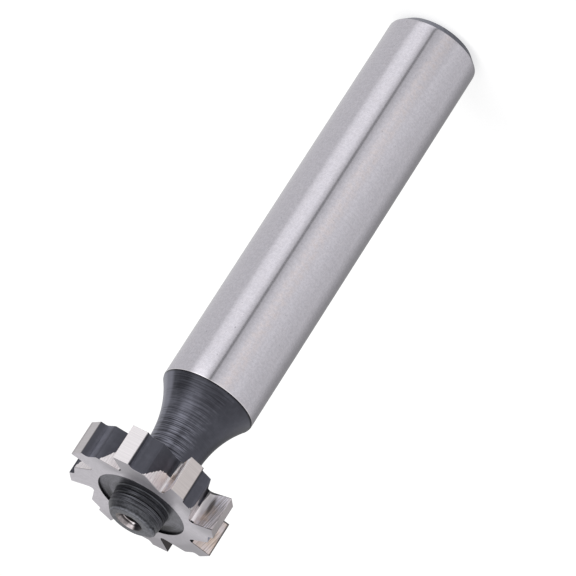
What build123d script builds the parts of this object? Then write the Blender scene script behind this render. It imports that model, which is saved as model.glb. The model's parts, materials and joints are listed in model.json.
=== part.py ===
from build123d import *
import os

# Woodruff keyseat cutter: one piece of tool steel, turned, milled, hardened and ground.
# Millimetres. The origin is the centre of the shank's end face, and +Z runs up to the toothed head.

# Ground shank, from its end face at Z = 0
SHANK_DIAMETER = 10.0
SHANK_LENGTH = 46.3
SHANK_CHAMFER = 0.9

# Unground shoulder between the ground shank and the neck, a short bevel
SHOULDER_DROP = 0.06
SHOULDER_LENGTH = 0.18
SHOULDER_ROUND = 0.25

# Turned neck: one long arc down from the shoulder, then a short plain stretch to the head
NECK_DIAMETER = 5.8
NECK_ARC_LENGTH = 6.44
NECK_PLAIN_LENGTH = 2.4
NECK_ROOT_ROUND = 0.7

# Head, with both flanks hollow ground and a turned recess inside each ring of ground face
HEAD_DIAMETER = 16.95
HEAD_WIDTH = 3.9
FLANK_RELIEF_ANGLE = 0.8
RECESS_DIAMETER = 9.6
RECESS_EDGE_DEPTH = 0.2
RECESS_HUB_DEPTH = 0.3
RECESS_ROUND = 0.15

# Teeth, each given from its own cutting edge. Angles are from the radius through that edge.
TOOTH_COUNT = 8
RAKE_ANGLE = 1.5
LAND_WIDTH = 1.74
LAND_RELIEF = 15.0
HEEL_STEP = 0.68
HEEL_STEP_LEAN = 10.0
HEEL_STEP_ROUND = 0.4
HEEL_RELIEF = 22.0
HEEL_ROUND = 0.1
GULLET_DEPTH = 2.88
GULLET_ANGLE = 61.0
GULLET_ROUND = 0.48

# Boss in front of the head: slightly tapered, with a long end chamfer and softened edges
BOSS_ROOT_DIAMETER = 5.88
BOSS_DIAMETER = 5.68
BOSS_LENGTH = 2.12
BOSS_CHAMFER_WIDTH = 0.6
BOSS_CHAMFER_LENGTH = 0.78
BOSS_EDGE_ROUND = 0.3

# Centre holes at both ends, on which the tool was ground: a seat and a drilled relief behind it
CENTRE_SEAT_DIAMETER = 2.65
CENTRE_SEAT_ANGLE = 60.0
CENTRE_DRILL_DIAMETER = 1.25
CENTRE_DRILL_LENGTH = 0.9
CENTRE_DRILL_POINT_ANGLE = 118.0

# The teeth are cut from a disc that is left this much larger all round
BLANK_ALLOWANCE = 0.5

shank_radius = SHANK_DIAMETER / 2
neck_radius = NECK_DIAMETER / 2
head_radius = HEAD_DIAMETER / 2
recess_radius = RECESS_DIAMETER / 2
boss_root_radius = BOSS_ROOT_DIAMETER / 2
boss_radius = BOSS_DIAMETER / 2
blank_radius = head_radius + BLANK_ALLOWANCE

shoulder_radius = shank_radius - SHOULDER_DROP
arc_start_z = SHANK_LENGTH + SHOULDER_LENGTH
arc_end_z = arc_start_z + NECK_ARC_LENGTH
head_back_z = arc_end_z + NECK_PLAIN_LENGTH
head_front_z = head_back_z + HEAD_WIDTH
boss_end_z = head_front_z + BOSS_LENGTH


def heading(angle):
    """Unit vector at an angle in degrees, counter-clockwise from +X as seen from the head."""
    return Vector(1, 0).rotate(Axis.Z, angle)


def crossing(start_a, along_a, start_b, along_b):
    """Point where two straight lines in one plane meet."""
    gap = start_b - start_a
    share = gap.cross(along_b).Z / along_a.cross(along_b).Z
    return start_a + along_a * share


def rise(run, angle):
    """Height of a slope at an angle in degrees over a run."""
    return run * abs(heading(angle).Y / heading(angle).X)


def centre_hole(face_z, inward):
    """Half section of a centre hole, from the seat's rim to the bottom of the drilled relief."""
    seat_radius = CENTRE_SEAT_DIAMETER / 2
    drill_radius = CENTRE_DRILL_DIAMETER / 2
    seat_depth = rise(seat_radius - drill_radius, 90 - CENTRE_SEAT_ANGLE / 2)
    drill_depth = seat_depth + CENTRE_DRILL_LENGTH
    point_depth = drill_depth + rise(drill_radius, 90 - CENTRE_DRILL_POINT_ANGLE / 2)
    return [
        (seat_radius, face_z),
        (drill_radius, face_z + inward * seat_depth),
        (drill_radius, face_z + inward * drill_depth),
        (0, face_z + inward * point_depth),
    ]


def flank(face_z, inward, hub_radius):
    """Half section of one side of the head, from the blank's rim in to the hub's root."""
    relief = rise(head_radius - recess_radius, FLANK_RELIEF_ANGLE)
    edge_z = face_z + inward * relief
    rim_z = face_z - inward * rise(BLANK_ALLOWANCE, FLANK_RELIEF_ANGLE)
    return [
        (blank_radius, rim_z),
        (recess_radius, edge_z),
        (recess_radius, edge_z + inward * RECESS_EDGE_DEPTH),
        (hub_radius, edge_z + inward * RECESS_HUB_DEPTH),
    ]


def turned_blank():
    """The cutter as it leaves the lathe: shank, neck, disc and boss in one revolved half section."""
    arc_drop = shoulder_radius - neck_radius
    arc_radius = (NECK_ARC_LENGTH ** 2 + arc_drop ** 2) / (2 * arc_drop)
    arc_centre = Vector(neck_radius + arc_radius, arc_end_z)
    arc_start = Vector(shoulder_radius, arc_start_z)
    arc_end = Vector(neck_radius, arc_end_z)
    arc_middle = arc_centre + ((arc_start + arc_end) / 2 - arc_centre).normalized() * arc_radius

    back = flank(head_back_z, 1, neck_radius)
    front = flank(head_front_z, -1, boss_root_radius)
    boss_side_end = (boss_radius, boss_end_z - BOSS_CHAMFER_LENGTH)
    boss_face_edge = (boss_radius - BOSS_CHAMFER_WIDTH, boss_end_z)
    shank_hole = centre_hole(0, 1)
    boss_hole = centre_hole(boss_end_z, -1)

    with BuildSketch(Plane.XZ) as section:
        with BuildLine():
            Polyline(
                *reversed(shank_hole),
                (shank_radius - SHANK_CHAMFER, 0),
                (shank_radius, SHANK_CHAMFER),
                (shank_radius, SHANK_LENGTH),
                arc_start,
            )
            ThreePointArc(arc_start, arc_middle, arc_end)
            Polyline(arc_end, *reversed(back), *front, boss_side_end, boss_face_edge, *boss_hole)
            Line(boss_hole[-1], shank_hole[-1])
        make_face()
        rounds = {
            tuple(arc_start): SHOULDER_ROUND,
            back[-1]: NECK_ROOT_ROUND,
            front[-1]: RECESS_ROUND,
            boss_side_end: BOSS_EDGE_ROUND,
            boss_face_edge: BOSS_EDGE_ROUND,
        }
        for (radius, z, *_), size in rounds.items():
            corner = section.vertices().sort_by_distance((radius, z)).first
            fillet(corner, size)
    return revolve(section.sketch, Axis.Z)


def tooth_outline():
    """Outline of one tooth and the gullet after it, running clockwise to the next cutting edge."""
    pitch = 360 / TOOTH_COUNT
    edge = heading(0) * head_radius
    next_edge = heading(-pitch) * head_radius
    land_end = edge + heading(-90 - LAND_RELIEF) * LAND_WIDTH
    step_foot = land_end + heading(HEEL_STEP_LEAN - 180) * HEEL_STEP
    gullet_root = next_edge - heading(RAKE_ANGLE - pitch) * GULLET_DEPTH
    floor_along = heading(RAKE_ANGLE - pitch + GULLET_ANGLE)
    heel = crossing(step_foot, heading(-90 - HEEL_RELIEF), gullet_root, floor_along)
    return FilletPolyline(
        edge, land_end, step_foot, heel, gullet_root, next_edge,
        radius=[0, HEEL_STEP_ROUND, HEEL_ROUND, GULLET_ROUND],
    )


def milled_spaces():
    """What the milling cutter takes away: the ring between the teeth's outline and the blank's rim."""
    tooth = tooth_outline()
    pitch = 360 / TOOTH_COUNT
    outline = Wire([e for i in range(TOOTH_COUNT) for e in (Rot(0, 0, -pitch * i) * tooth).edges()])
    ring = Circle(blank_radius + BLANK_ALLOWANCE) - Face(outline)
    height = HEAD_WIDTH + 2 * BLANK_ALLOWANCE
    return extrude(Pos(0, 0, head_back_z - BLANK_ALLOWANCE) * ring, height)


keyseat_cutter = turned_blank() - milled_spaces()
keyseat_cutter.label = "keyseat_cutter"

os.makedirs("parts", exist_ok=True)
export_step(keyseat_cutter, "parts/keyseat_cutter.step")
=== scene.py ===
import json
import math
import random

import bmesh
import bpy
from mathutils import Matrix, Quaternion, Vector


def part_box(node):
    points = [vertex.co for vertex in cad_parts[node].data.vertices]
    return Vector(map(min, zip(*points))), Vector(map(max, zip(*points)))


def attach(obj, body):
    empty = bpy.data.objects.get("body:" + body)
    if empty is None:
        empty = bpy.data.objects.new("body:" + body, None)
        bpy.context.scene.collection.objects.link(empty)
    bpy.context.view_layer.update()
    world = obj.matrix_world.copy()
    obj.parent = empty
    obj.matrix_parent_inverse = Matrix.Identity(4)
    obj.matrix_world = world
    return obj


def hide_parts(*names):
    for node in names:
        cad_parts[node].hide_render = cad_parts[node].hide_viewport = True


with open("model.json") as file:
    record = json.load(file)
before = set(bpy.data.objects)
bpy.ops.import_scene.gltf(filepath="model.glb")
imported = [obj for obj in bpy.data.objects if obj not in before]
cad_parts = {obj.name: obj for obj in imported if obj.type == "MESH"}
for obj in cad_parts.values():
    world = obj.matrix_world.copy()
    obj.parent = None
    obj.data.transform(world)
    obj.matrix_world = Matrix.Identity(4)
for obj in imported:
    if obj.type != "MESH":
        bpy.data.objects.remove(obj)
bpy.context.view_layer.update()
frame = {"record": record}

bl_info = {
    "name": "Woodruff keyseat cutter",
    "version": (1, 0, 0),
    "blender": (4, 5, 0),
    "location": "3D View > Sidebar > Keyseat cutter",
    "description": "Models a straight-shank woodruff keyseat cutter with its ground and blackened finishes",
    "category": "Object",
}

NODE = "keyseat_cutter"
MILLIMETRE = 0.001
ROUND_STEPS = 192
ROUND_SEGMENT = 9
MERGE_GAP = 1e-4
SHARP_ANGLE = math.radians(28)
CRISP_ANGLE = math.radians(20)
SENSOR_WIDTH = 36
QUARTER_TURN = 0.25

lowest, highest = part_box(NODE)
holder = next(mount for mount in frame["record"]["mounts"] if mount["name"] == "shank")
BOX_RADIUS = (highest[0] - lowest[0]) / 2 / MILLIMETRE
BOX_HEIGHT = highest[2] / MILLIMETRE


def length(name, description, millimetres):
    """A length that the user can change, kept in metres."""
    return bpy.props.FloatProperty(
        name=name, description=description, default=millimetres * MILLIMETRE, min=0, precision=5,
        subtype="DISTANCE", unit="LENGTH")


def angle(name, description, degrees):
    """An angle that the user can change, kept in radians."""
    return bpy.props.FloatProperty(
        name=name, description=description, default=math.radians(degrees), subtype="ANGLE", unit="ROTATION")


def level(name, description, value):
    """A brightness, where 1 is white."""
    return bpy.props.FloatProperty(name=name, description=description, default=value)


def colour(name, description, red, green, blue):
    """A linear colour."""
    return bpy.props.FloatVectorProperty(
        name=name, description=description, default=(red, green, blue), size=3, min=0, max=1, subtype="COLOR")


class CutterSizes(bpy.types.PropertyGroup):
    """Sizes of the cutter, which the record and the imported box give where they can."""

    shank_radius: length("Shank radius", "Radius of the ground shank", holder["dims"]["r_mm"])
    shank_length: length("Shank length", "From the end face to the end of the grinding", 46.3)
    shank_chamfer: length("Shank chamfer", "Chamfer on the end of the shank", 0.9)
    shoulder_drop: length("Shoulder drop", "How far the unground shoulder falls in radius", 0.06)
    shoulder_length: length("Shoulder length", "Length of the unground shoulder", 0.18)
    neck_radius: length("Neck radius", "Radius of the plain stretch of the neck", 2.9)
    neck_arc: length("Neck arc", "Length of the long arc from shoulder to neck", 6.44)
    neck_plain: length("Neck plain length", "Plain stretch between the arc and the head", 2.4)
    neck_root: length("Neck root round", "Round between the neck and the head", 0.7)
    head_radius: length("Head radius", "Radius to the cutting edges", BOX_RADIUS)
    head_width: length("Head width", "Width of the head at its rim", 3.9)
    recess_radius: length("Recess radius", "Radius of the turned recess in each flank", 4.8)
    recess_edge: length("Recess edge depth", "Depth of the recess at its rim", 0.2)
    recess_hub: length("Recess hub depth", "Depth of the recess at the neck or boss", 0.3)
    recess_round: length("Recess round", "Round at the root of the boss", 0.15)
    boss_root_radius: length("Boss root radius", "Radius of the boss where it leaves the head", 2.94)
    boss_radius: length("Boss radius", "Radius of the boss at its chamfer", 2.84)
    boss_chamfer_width: length("Boss chamfer width", "Chamfer of the boss, across", 0.6)
    boss_chamfer_length: length("Boss chamfer length", "Chamfer of the boss, along the axis", 0.78)
    boss_round: length("Boss round", "Softened edges of the boss chamfer", 0.3)
    seat_radius: length("Centre seat radius", "Radius of the centre hole at the face", 1.325)
    drill_radius: length("Centre drill radius", "Radius of the drilled relief", 0.625)
    drill_length: length("Centre drill length", "Length of the drilled relief", 0.9)
    flank_relief: angle("Flank relief", "Hollow grinding of both flanks", 0.8)
    seat_half_angle: angle("Seat half angle", "Half of the centre seat's angle", 30)
    point_half_angle: angle("Drill point half angle", "Half of the centre drill's point angle", 59)
    overall: length("Overall length", "From the shank's end face to the end of the boss", BOX_HEIGHT)


class ToothSizes(bpy.types.PropertyGroup):
    """Sizes of one tooth, laid out from its own cutting edge."""

    count: bpy.props.IntProperty(name="Teeth", description="Number of straight teeth", default=8, min=3)
    land: length("Land", "Width of the ground land", 1.74)
    heel_step: length("Heel step", "Depth of the step behind the land", 0.68)
    heel_step_round: length("Heel step round", "Round at the foot of the step", 0.4)
    heel_round: length("Heel round", "Round at the heel", 0.1)
    gullet_depth: length("Gullet depth", "Depth of the gullet along the rake face", 2.88)
    gullet_round: length("Gullet round", "Round at the root of the gullet", 0.48)
    edge_break: length("Edge break", "Tiny bevel on the ground edges", 0.025)
    rake: angle("Rake", "Rake from the radius through the edge", 1.5)
    land_relief: angle("Land relief", "Relief behind the cutting edge", 15)
    step_lean: angle("Step lean", "Lean of the step's wall", 10)
    heel_relief: angle("Heel relief", "Second relief, on the tooth's back", 22)
    gullet_angle: angle("Gullet angle", "Angle between the rake face and the gullet floor", 61)


class ToolMarks(bpy.types.PropertyGroup):
    """Marks that the lathe tool left in the black surfaces."""

    row: length("Row", "Length of one row of faces where the tool left its marks", 0.045)
    neck_pitch: length("Neck pitch", "Mean pitch of the turning grooves on the neck", 0.19)
    neck_depth: length("Neck groove depth", "Depth of the deepest turning grooves on the neck", 0.012)
    recess_pitch: length("Recess pitch", "Mean pitch of the turned rings in the recess", 0.22)
    recess_depth: length("Recess ring depth", "Depth of the turned rings in the recess", 0.004)
    boss_pitch: length("Boss pitch", "Mean pitch of the fine ridges on the boss", 0.13)
    boss_depth: length("Boss ridge depth", "Depth of the fine ridges on the boss", 0.006)
    burr: length("Burr", "How far the burr on the edge of the boss's face stands out", 0.32)
    seed: bpy.props.IntProperty(name="Seed", description="Seed for the uneven marks", default=11)


class FinishColours(bpy.types.PropertyGroup):
    """Base colours of the finishes."""

    ground: colour("Ground steel", "Bright cylindrical grinding", 0.605, 0.587, 0.638)
    blush: colour("Warm mottling", "Faint warm patches on the ground shank", 0.660, 0.600, 0.610)
    land: colour("Ground land", "Bright relief grinding on the teeth", 0.800, 0.765, 0.785)
    flank: colour("Ground flank", "Dull face grinding", 0.625, 0.600, 0.640)
    black: colour("Black finish", "Heat-treatment black on turned and milled steel", 0.0805, 0.0815, 0.099)
    recess: colour("Recess", "Worn black finish in the flank recesses", 0.162, 0.160, 0.182)
    boss: colour("Boss", "Tint of the worn finish on the boss, where 1 is its full shade", 0.87, 0.89, 1.0)
    straw: colour("Straw tint", "Warm tint on the rake faces", 0.62, 0.52, 0.46)
    # Also painted shade: it darkens the neck's grooves and the shadowed side of the centre holes
    soot: colour("Soot", "Darkest scale in corners", 0.018, 0.018, 0.022)


class StudioSettings(bpy.types.PropertyGroup):
    """The camera, the lamps and what the metal mirrors."""

    camera_azimuth: angle("Camera azimuth", "Direction of the camera from the aim point", -78.820)
    camera_elevation: angle("Camera elevation", "Height of the camera above the level", 23.229)
    camera_roll: angle("Camera roll", "Turn of the picture about the line of sight", -147.362)
    camera_distance: length("Camera distance", "From the aim point to the camera", 481.053)
    camera_lens: bpy.props.FloatProperty(
        name="Lens", description="Focal length on a 36 mm sensor", default=303.41, unit="CAMERA")
    aim_x: bpy.props.FloatProperty(
        name="Aim X", description="Aim point across", default=-0.000662, precision=6, unit="LENGTH")
    aim_y: bpy.props.FloatProperty(
        name="Aim Y", description="Aim point in depth", default=-0.000131, precision=6, unit="LENGTH")
    aim_z: length("Aim height", "Height of the aim point", 31.565)
    base: level("Base level", "What the metal mirrors low down, between the panels", 0.72)
    upper: level("Upper level", "What the metal mirrors above the horizon", 0.82)
    top: level("Top level", "What the metal mirrors overhead", 1.25)
    ambient: level("Ambient", "Soft light from all round", 0.5)
    lamp_power: bpy.props.FloatProperty(name="Lamp power", description="Power of the key lamp", default=2.2)
    floor_lift: level("Floor lift", "How much the floor is lifted to white for the camera", 0.70)


# Each panel: name, azimuth, half width in degrees, added brightness, and the upward parts of the directions
# at its lower and upper edge
STUDIO_PANELS = (
    ("softbox", -31, 20, 0.43, -1.2, 0.85),
    ("upper part of the softbox", -33, 16, 0.40, -0.25, 0.60),
    ("gap beside the softbox", -58, 3, -0.37, -1.2, 0.0),
    ("edge of the gap", -56, 12, -0.12, -1.2, 0.0),
    ("pale panel at the camera", -92, 30, 0.26, -1.2, 0.15),
    ("dark panel beside the softbox", 5, 24, -0.30, 0.15, 0.75),
    ("dark panel over the camera", -95, 26, -0.20, 0.40, 0.70),
    ("dark side of the room", 130, 38, -0.42, -1.2, 0.0),
)
# Each lamp: name, azimuth, elevation, distance, diameter, and its share of the lamp power
LAMPS = (
    ("key_lamp", -31, 50, 0.7, 0.6, 1.0),
    ("fill_lamp", 150, 55, 0.8, 0.7, 0.6),
)
FLOOR_RADIUS = 3.0
FLOOR_GREY = 0.88
FLOOR_GREY_SEEN = 0.42
# Upward parts of a direction between which the mirrored level goes from base to upper, and from upper to top
HORIZON = (-0.1, 0.15)
OVERHEAD = (0.7, 0.95)
# How far a panel fades out past its lower and upper edges, and how far inside them it is full
FADE_OUTSIDE = 0.1
FADE_INSIDE = 0.15


class Bench:
    """The sizes of a property group in millimetres, because small bevels lose digits in metres."""

    def __init__(self, group):
        for name, prop in group.bl_rna.properties.items():
            value = getattr(group, name)
            is_length = prop.type == "FLOAT" and prop.unit == "LENGTH"
            setattr(self, name, value / MILLIMETRE if is_length else value)


# Uneven cuts: the half width and the spacing as shares of the pitch, and the share of the full depth
CUT_HALF_WIDTH = 0.45
CUT_SPACING = (0.75, 1.25)
CUT_DEPTH = (0.15, 1.0)


def turning(rng, whole, pitch, depth, start=1.0):
    """Uneven cuts of a lathe tool over a stretch, from a share of the depth at its start to all of it."""
    cuts = []
    at = pitch
    while at < whole:
        share = start + (1 - start) * at / whole
        cuts.append((at, pitch * CUT_HALF_WIDTH, depth * share * rng.uniform(*CUT_DEPTH)))
        at += pitch * rng.uniform(*CUT_SPACING)
    return cuts


def nearest_vert(bm, place):
    """The vertex at a place."""
    return min(bm.verts, key=lambda v: (v.co - place).length_squared)


def add_mesh(bm, part):
    """Move all of one bmesh into another."""
    carrier = bpy.data.meshes.new("carrier")
    part.to_mesh(carrier)
    part.free()
    bm.from_mesh(carrier)
    bpy.data.meshes.remove(carrier)


class Section:
    """Half section of a turned stretch, in the XZ plane, as one chain of vertices."""

    def __init__(self, radius, z):
        self.bm = bmesh.new()
        self.sunk = self.bm.verts.layers.float.new("sunk")
        self.chain = [bmesh.ops.create_vert(self.bm, co=(radius, 0, z))["vert"][0]]
        self.rounds = []

    def line(self, radius, z, stretches=1):
        """Run straight to a point, in equal stretches."""
        start = self.chain[-1].co.copy()
        end = Vector((radius, 0, z))
        for i in range(stretches):
            made = bmesh.ops.extrude_vert_indiv(self.bm, verts=[self.chain[-1]])["verts"]
            place = start.lerp(end, (i + 1) / stretches)
            bmesh.ops.translate(self.bm, verts=made, vec=place - self.chain[-1].co)
            self.chain += made
        return self

    def arc(self, centre_radius, centre_z, turn, steps):
        """Run round a centre through an angle."""
        old = set(self.bm.verts)
        bmesh.ops.spin(
            self.bm, geom=[self.chain[-1]], cent=(centre_radius, 0, centre_z), axis=(0, -1, 0),
            angle=turn, steps=steps)
        made = [v for v in self.bm.verts if v not in old]
        made.sort(key=lambda v: (v.co - self.chain[-1].co).length)
        self.chain += made

    def round_corner(self, size):
        """Mark the last point to be rounded once the chain goes on."""
        self.rounds.append((len(self.chain) - 1, size))

    def groove(self, first, last, cuts):
        """Sink the chain between two places in turned cuts, each with its distance, half width and depth."""
        places = [v.co.copy() for v in self.chain]
        gone = 0.0
        for i in range(first + 1, last):
            gone += (places[i] - places[i - 1]).length
            sunk = 0.0
            for at, half_width, depth in cuts:
                if abs(gone - at) < half_width:
                    sunk += depth * (0.5 + 0.5 * math.cos(math.pi * (gone - at) / half_width))
            along = (places[i + 1] - places[i - 1]).normalized()
            outward = Vector((along.z, 0, -along.x))
            self.chain[i].co = places[i] - outward * sunk
            self.chain[i][self.sunk] = sunk

    def turn(self, bm, finish):
        """Round the marked corners, spin the chain round and add the surface to the cutter."""
        corners = []
        for index, size in self.rounds:
            before, corner, after = (self.chain[index + k].co.copy() for k in (-1, 0, 1))
            bend = (corner - before).angle(after - corner)
            segments = max(2, round(math.degrees(bend) / ROUND_SEGMENT))
            corners.append((corner, size * math.tan(bend / 2), segments))
        for corner, offset, segments in corners:
            round_off(self.bm, corner, offset, segments)
        bmesh.ops.spin(
            self.bm, geom=self.bm.verts[:] + self.bm.edges[:], cent=(0, 0, 0), axis=(0, 0, 1), angle=math.tau,
            steps=ROUND_STEPS, use_merge=True)
        slot = slot_of(finish)
        for face in self.bm.faces:
            face.material_index = slot
        add_mesh(bm, self.bm)


def round_off(bm, corner, offset, segments):
    """Round one corner of a wire, starting at an offset from it."""
    bmesh.ops.bevel(
        bm, geom=[nearest_vert(bm, corner)], offset=offset, offset_type="OFFSET", segments=segments,
        profile=0.5, affect="VERTICES", material=-1, clamp_overlap=False)


def seat_depths(size):
    """Depths of the centre seat, the drilled relief and its point, from the face."""
    seat = (size.seat_radius - size.drill_radius) / math.tan(size.seat_half_angle)
    drill = seat + size.drill_length
    return seat, drill, drill + size.drill_radius / math.tan(size.point_half_angle)


# Small forms of the turned surfaces, in millimetres
SEAT_BREAK_WIDTH = 0.04
SEAT_BREAK_DEPTH = 0.03
SHANK_END_ROUND = 0.12
SHANK_CORNER = ((0.04, 0.0), (0.012, 0.10), (0.0, 0.30))
GRINDING_DROP = 0.012
GRINDING_RUNOUT = 0.06
LIP_DROP = 0.035
LIP_LENGTH = 0.02
SHOULDER_BREAK_DROP = 0.03
SHOULDER_BREAK_LENGTH = 0.05
ARC_START = 0.06
ROOT_MARGIN = 0.02
RECESS_FALL = 0.05
RIM_BREAK = 0.03
BOSS_ROOT_DROP = 0.01
SIDE_MARGIN = 0.16
FACE_MARGIN = 0.13


def centre_hole(bm, size, face_z, inward):
    """A 60 degree seat with a drilled relief behind it."""
    seat, drill, point = seat_depths(size)
    hole = Section(size.seat_radius + SEAT_BREAK_WIDTH, face_z)
    hole.line(size.seat_radius, face_z + inward * SEAT_BREAK_DEPTH)
    hole.line(size.drill_radius, face_z + inward * seat, stretches=6)
    hole.line(size.drill_radius, face_z + inward * drill, stretches=3)
    hole.line(0, face_z + inward * point, stretches=3)
    hole.turn(bm, "centre_seat")


def shank(bm, size):
    """The ground shank with its blackened end: face, chamfer and cylinder."""
    corner = [(size.shank_radius - drop, size.shank_chamfer + past) for drop, past in SHANK_CORNER]
    end = Section(size.seat_radius + SEAT_BREAK_WIDTH, 0)
    end.line(size.shank_radius - size.shank_chamfer, 0, stretches=6).round_corner(SHANK_END_ROUND)
    end.line(*corner[0], stretches=3)
    end.turn(bm, "shank_end")
    body = Section(*corner[0])
    body.line(*corner[1])
    body.line(*corner[2])
    body.line(size.shank_radius, size.shank_length - GRINDING_RUNOUT, stretches=16)
    body.line(size.shank_radius - GRINDING_DROP, size.shank_length, stretches=2)
    body.turn(bm, "ground_shank")


def neck(bm, size, marks):
    """The unground shoulder, the long arc, the plain neck and the recess behind the head, all black."""
    rng = random.Random(marks.seed)
    shoulder_radius = size.shank_radius - size.shoulder_drop
    arc_start = size.shank_length + size.shoulder_length
    arc_end = arc_start + size.neck_arc
    drop = shoulder_radius - size.neck_radius
    radius = (size.neck_arc ** 2 + drop ** 2) / (2 * drop)
    sweep = math.asin(size.neck_arc / radius) - math.asin(ARC_START / radius)
    head_back = arc_end + size.neck_plain
    relief = math.tan(size.flank_relief) * (size.head_radius - size.recess_radius)
    hub = head_back + relief + size.recess_hub
    plain = hub - size.neck_root - ROOT_MARGIN - arc_end
    root = (size.neck_radius + size.neck_root + ROOT_MARGIN, hub - size.neck_root * RECESS_FALL)

    black = Section(size.shank_radius - GRINDING_DROP, size.shank_length)
    black.line(size.shank_radius - LIP_DROP, size.shank_length + LIP_LENGTH)
    black.line(shoulder_radius, arc_start - LIP_LENGTH, stretches=2)
    black.line(shoulder_radius - SHOULDER_BREAK_DROP, arc_start + SHOULDER_BREAK_LENGTH)
    first = len(black.chain)
    centre = size.neck_radius + radius
    black.line(centre - radius * math.cos(sweep), arc_end - radius * math.sin(sweep))
    black.arc(centre, arc_end, -sweep, round(radius * sweep / marks.row))
    black.line(size.neck_radius, arc_end + plain, round(plain / marks.row))
    grooves = turning(rng, radius * sweep + plain, marks.neck_pitch, marks.neck_depth, start=0.3)
    last = len(black.chain) - 1
    black.line(size.neck_radius, hub).round_corner(size.neck_root)
    black.line(*root)
    black.groove(first, last, grooves)
    black.turn(bm, "black_neck")

    back = Section(*root)
    width = size.recess_radius - size.neck_radius - size.neck_root
    rows = round(width / marks.row)
    back.line(size.recess_radius, head_back + relief + size.recess_edge, rows)
    back.groove(0, rows, turning(rng, width, marks.recess_pitch, marks.recess_depth))
    back.line(size.recess_radius, head_back + relief + RIM_BREAK, stretches=2)
    back.line(size.recess_radius + RIM_BREAK, head_back + relief)
    back.turn(bm, "recess")
    return head_back


# Deep cuts round the boss: height, half width and depth of each
BOSS_CUTS = ((59.20, 0.16, 0.018), (59.75, 0.12, 0.045), (60.10, 0.09, 0.022), (60.28, 0.06, 0.012))
CHAMFER_ROWS = 14


def boss(bm, size, marks, head_front):
    """The recess in front of the head and the short tapered boss with its long chamfer."""
    rng = random.Random(marks.seed + 1)
    edge = head_front - math.tan(size.flank_relief) * (size.head_radius - size.recess_radius)
    floor_edge = edge - size.recess_edge
    hub = edge - size.recess_hub
    slope = (floor_edge - hub) / (size.recess_radius - size.boss_root_radius)
    root = size.boss_root_radius + size.recess_round + ROOT_MARGIN
    root_z = hub + slope * (root - size.boss_root_radius)

    rows = round((size.recess_radius - root) / marks.row)
    front = Section(size.recess_radius + RIM_BREAK, edge)
    front.line(size.recess_radius, edge - RIM_BREAK)
    front.line(size.recess_radius, floor_edge, stretches=2)
    first = len(front.chain) - 1
    front.line(root, root_z, rows)
    rings = turning(rng, size.recess_radius - root, marks.recess_pitch, marks.recess_depth)
    front.groove(first, first + rows, rings)
    front.turn(bm, "recess")

    end = size.overall
    side_end = end - size.boss_chamfer_length
    side_start = hub + size.recess_round + ROOT_MARGIN
    side = side_end - SIDE_MARGIN - side_start
    cuts = [(z - side_start, half_width, depth) for z, half_width, depth in BOSS_CUTS]
    nose = Section(root, root_z)
    nose.line(size.boss_root_radius, hub).round_corner(size.recess_round)
    nose.line(size.boss_root_radius - BOSS_ROOT_DROP, side_start)
    first = len(nose.chain) - 1
    nose.line(size.boss_radius, side_end - SIDE_MARGIN, round(side / marks.row))
    nose.groove(first, len(nose.chain) - 1, cuts + turning(rng, side, marks.boss_pitch, marks.boss_depth))
    nose.line(size.boss_radius, side_end).round_corner(size.boss_round)
    face_edge = size.boss_radius - size.boss_chamfer_width
    lean = Vector((-size.boss_chamfer_width, 0, size.boss_chamfer_length)).normalized()
    first = len(nose.chain)
    nose.line(size.boss_radius + lean.x * SIDE_MARGIN, side_end + lean.z * SIDE_MARGIN)
    nose.line(face_edge - lean.x * FACE_MARGIN, end - lean.z * FACE_MARGIN, CHAMFER_ROWS)
    ridges = turning(rng, size.boss_chamfer_length, marks.boss_pitch, marks.boss_depth)
    nose.groove(first, first + CHAMFER_ROWS, ridges)
    nose.line(face_edge, end).round_corner(size.boss_round)
    nose.line(face_edge - FACE_MARGIN, end)
    nose.line(size.seat_radius + SEAT_BREAK_WIDTH, end, stretches=6)
    nose.turn(bm, "boss")
    raise_burr(bm, size, marks.burr)
    return end


BURR_SIDE = math.radians(-165)
BURR_BELOW = 0.16
BURR_HEIGHT = 0.26
BURR_SPREAD = math.cos(math.radians(30))


def raise_burr(bm, size, burr):
    """Push out one side of the edge between the boss's chamfer and its face."""
    face_edge = size.boss_radius - size.boss_chamfer_width
    side = heading(BURR_SIDE)
    for vert in bm.verts:
        reach = 1 - abs(vert.co.z - (size.overall - BURR_BELOW)) / BURR_HEIGHT
        out = vert.co.xy.length
        if reach > 0 and out > face_edge - BURR_BELOW:
            facing = (vert.co.x * side.x + vert.co.y * side.y) / out
            spread = max(0.0, (facing - BURR_SPREAD) / (1 - BURR_SPREAD))
            push = burr * min(1.0, reach * 2) * math.sqrt(spread)
            vert.co.x *= 1 + push / out
            vert.co.y *= 1 + push / out


def heading(turn):
    """Unit vector at an angle in radians, counter-clockwise from +X as seen from the head."""
    return Vector((math.cos(turn), math.sin(turn), 0))


def crossing(start_a, along_a, start_b, along_b):
    """Point where two straight lines in one plane meet."""
    gap = start_b - start_a
    return start_a + along_a * (gap.cross(along_b).z / along_a.cross(along_b).z)


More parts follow.
